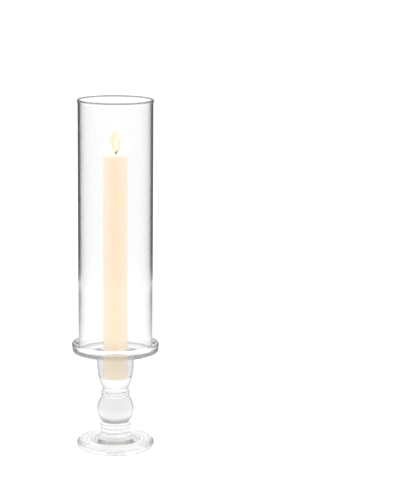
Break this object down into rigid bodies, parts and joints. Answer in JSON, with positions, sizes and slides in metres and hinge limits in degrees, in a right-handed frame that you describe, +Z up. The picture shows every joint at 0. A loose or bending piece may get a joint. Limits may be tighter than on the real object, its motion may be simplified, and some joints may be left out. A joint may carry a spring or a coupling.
{
  "type": "hurricane candle lantern",
  "caption": "Clear glass candlestick with a rimmed plate and taper socket, a lift-off straight glass chimney open at both ends, and a lift-out taper candle with a curled wick.",
  "frame": {"origin": "on the axis, at the surface that the foot stands on", "axes": "+Z up along the axis, +X towards the side that the burned wick curls to, -Y towards the viewer"},
  "size_m": [0.08, 0.08, 0.3225],
  "materials": {
    "pressed_glass": "clear, fire-polished, colourless",
    "tube_glass": "clear, thin, drawn tube with polished ends",
    "wax": "ivory candle wax, smooth and faintly translucent",
    "wick_cotton": "braided cotton, waxed, charred at the end",
    "flame": "soft candle flame, pale yellow round a white core"
  },
  "bodies": {
    "candlestick": {"candlestick": "pressed_glass"},
    "chimney": {"chimney": "tube_glass"},
    "candle": {"taper_candle": "wax", "wick": "wick_cotton"}
  },
  "joints": [
    {"name": "chimney_lift", "type": "slide", "parent": "candlestick", "child": "chimney", "axis": [0, 0, 1], "range_m": [0, 0.21]},
    {"name": "candle_lift", "type": "slide", "parent": "candlestick", "child": "candle", "axis": [0, 0, 1], "range_m": [0, 0.26]}
  ]
}
